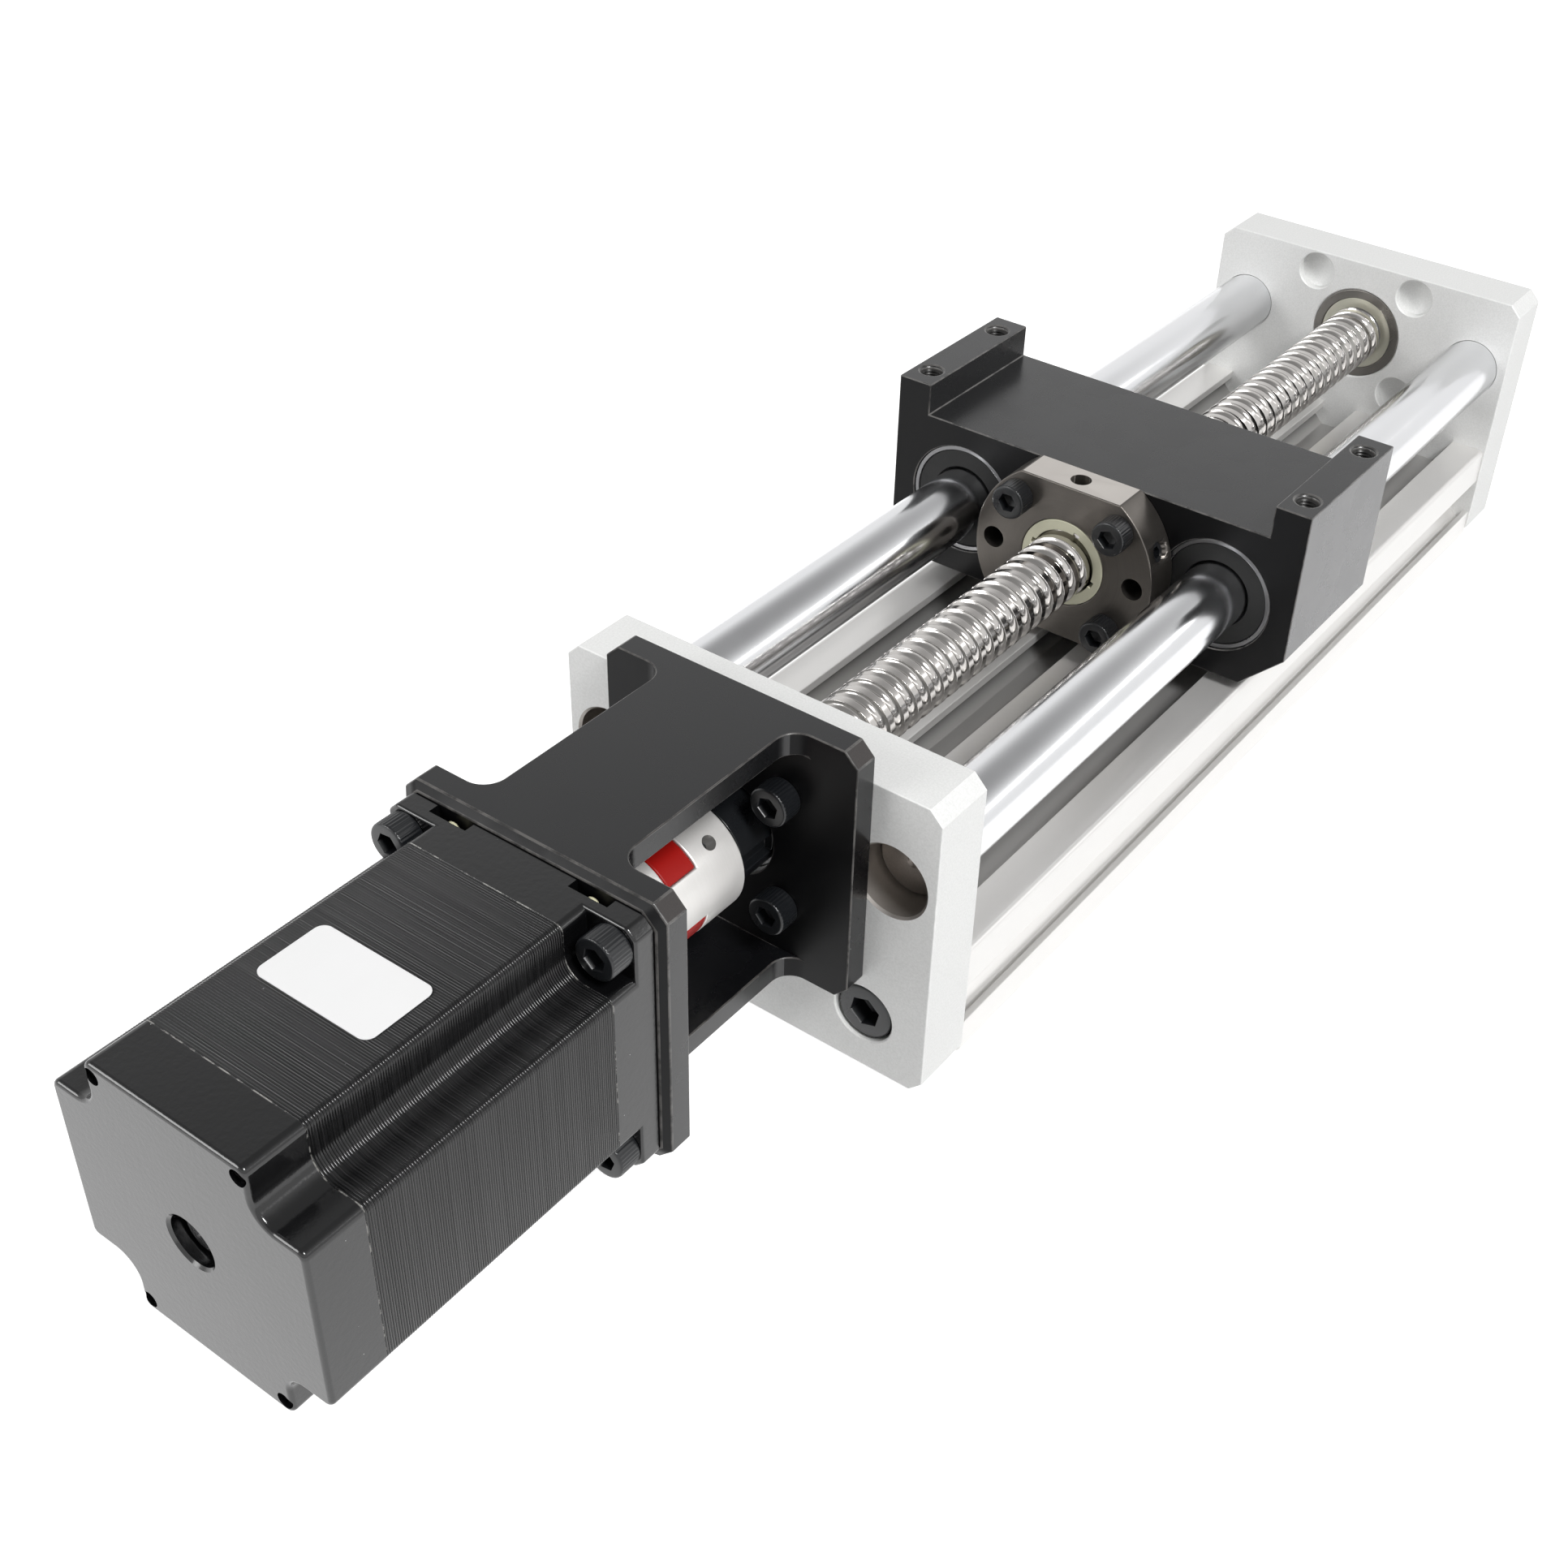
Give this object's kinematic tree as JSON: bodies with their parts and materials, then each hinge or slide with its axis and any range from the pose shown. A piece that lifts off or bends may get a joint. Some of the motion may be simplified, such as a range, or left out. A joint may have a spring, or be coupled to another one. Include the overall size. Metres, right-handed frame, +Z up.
{
  "type": "ball screw linear module",
  "caption": "Motor-driven ball screw stage with a carriage on guide rods over a slotted aluminium rail.",
  "frame": {"origin": "middle of the rail's underside, in the mouth of its centre slot", "axes": "+X along the screw, away from the motor; +Y across, to the left when looking along +X; +Z up"},
  "size_m": [0.438, 0.11, 0.081],
  "materials": {
    "rail_silver": "silver anodised, fine satin",
    "plate_silver": "silver anodised, machined",
    "black_anodised": "black anodised, satin",
    "motor_black": "black coating, satin",
    "laminations": "black coated steel laminations",
    "label": "white label, blank",
    "black_rubber": "matt",
    "black_oxide": "black oxide",
    "zinc": "yellow zinc plated",
    "rod_chrome": "hard chromed and ground",
    "screw_steel": "ground steel",
    "nut_steel": "ground bearing steel",
    "bearing_steel": "ground bearing steel",
    "dark_steel": "dark bearing steel",
    "shield": "yellow tinted shield",
    "coupling_alu": "bright turned",
    "spider_red": "red polyurethane",
    "wiper_cream": "cream plastic",
    "cage_plastic": "dark plastic"
  },
  "bodies": {
    "base": {"base_rail": "rail_silver", "motor_end_plate": "plate_silver", "far_end_plate": "plate_silver", "guide_rod_left": "rod_chrome", "guide_rod_right": "rod_chrome", "motor_plate_screw_left": "black_oxide", "motor_plate_screw_right": "black_oxide", "far_plate_screw_left": "black_oxide", "far_plate_screw_right": "black_oxide", "coupling_housing": "black_anodised", "housing_screw_1": "black_oxide", "housing_screw_2": "black_oxide", "housing_screw_3": "black_oxide", "housing_screw_4": "black_oxide", "motor_front_cap": "motor_black", "motor_stator": "laminations", "motor_rear_cap": "motor_black", "motor_label": "label", "motor_lead_grommet": "black_rubber", "motor_screw_1": "black_oxide", "motor_screw_2": "black_oxide", "motor_screw_3": "black_oxide", "motor_screw_4": "black_oxide", "motor_case_screws": "zinc", "motor_bearing_front": "bearing_steel", "motor_bearing_rear": "bearing_steel", "near_bearing_outer": "bearing_steel", "far_bearing_outer": "dark_steel", "far_bearing_shield": "shield"},
    "drive": {"ball_screw": "screw_steel", "near_bearing_inner": "bearing_steel", "far_bearing_inner": "bearing_steel", "lock_nut": "black_oxide", "coupling_hub_screw": "coupling_alu", "coupling_hub_motor": "coupling_alu", "coupling_spider": "spider_red", "grub_screw_screw": "black_oxide", "grub_screw_motor": "black_oxide", "motor_shaft": "bearing_steel", "motor_rotor": "bearing_steel"},
    "carriage": {"carriage_block": "black_anodised", "ball_nut": "nut_steel", "nut_wiper_front": "wiper_cream", "nut_wiper_rear": "wiper_cream", "nut_screw_1": "black_oxide", "nut_screw_2": "black_oxide", "nut_screw_3": "black_oxide", "nut_screw_4": "black_oxide", "nut_port_plug": "nut_steel", "nut_balls": "rod_chrome", "linear_bearing_left": "bearing_steel", "linear_bearing_right": "bearing_steel", "ball_cage_left": "cage_plastic", "ball_cage_right": "cage_plastic", "rod_seal_left_front": "black_rubber", "rod_seal_left_rear": "black_rubber", "rod_seal_right_front": "black_rubber", "rod_seal_right_rear": "black_rubber"}
  },
  "joints": [
    {"name": "screw_turn", "type": "hinge", "parent": "base", "child": "drive", "pos_m": [0, 0, 0.051], "axis": [1, 0, 0], "range_deg": [-7562, 6842]},
    {"name": "carriage_slide", "type": "slide", "parent": "base", "child": "carriage", "axis": [1, 0, 0], "range_m": [-0.095, 0.105]}
  ],
  "couplings": [
    {"joint": "screw_turn", "follows": "carriage_slide", "rad_per_m": -1256.6}
  ]
}
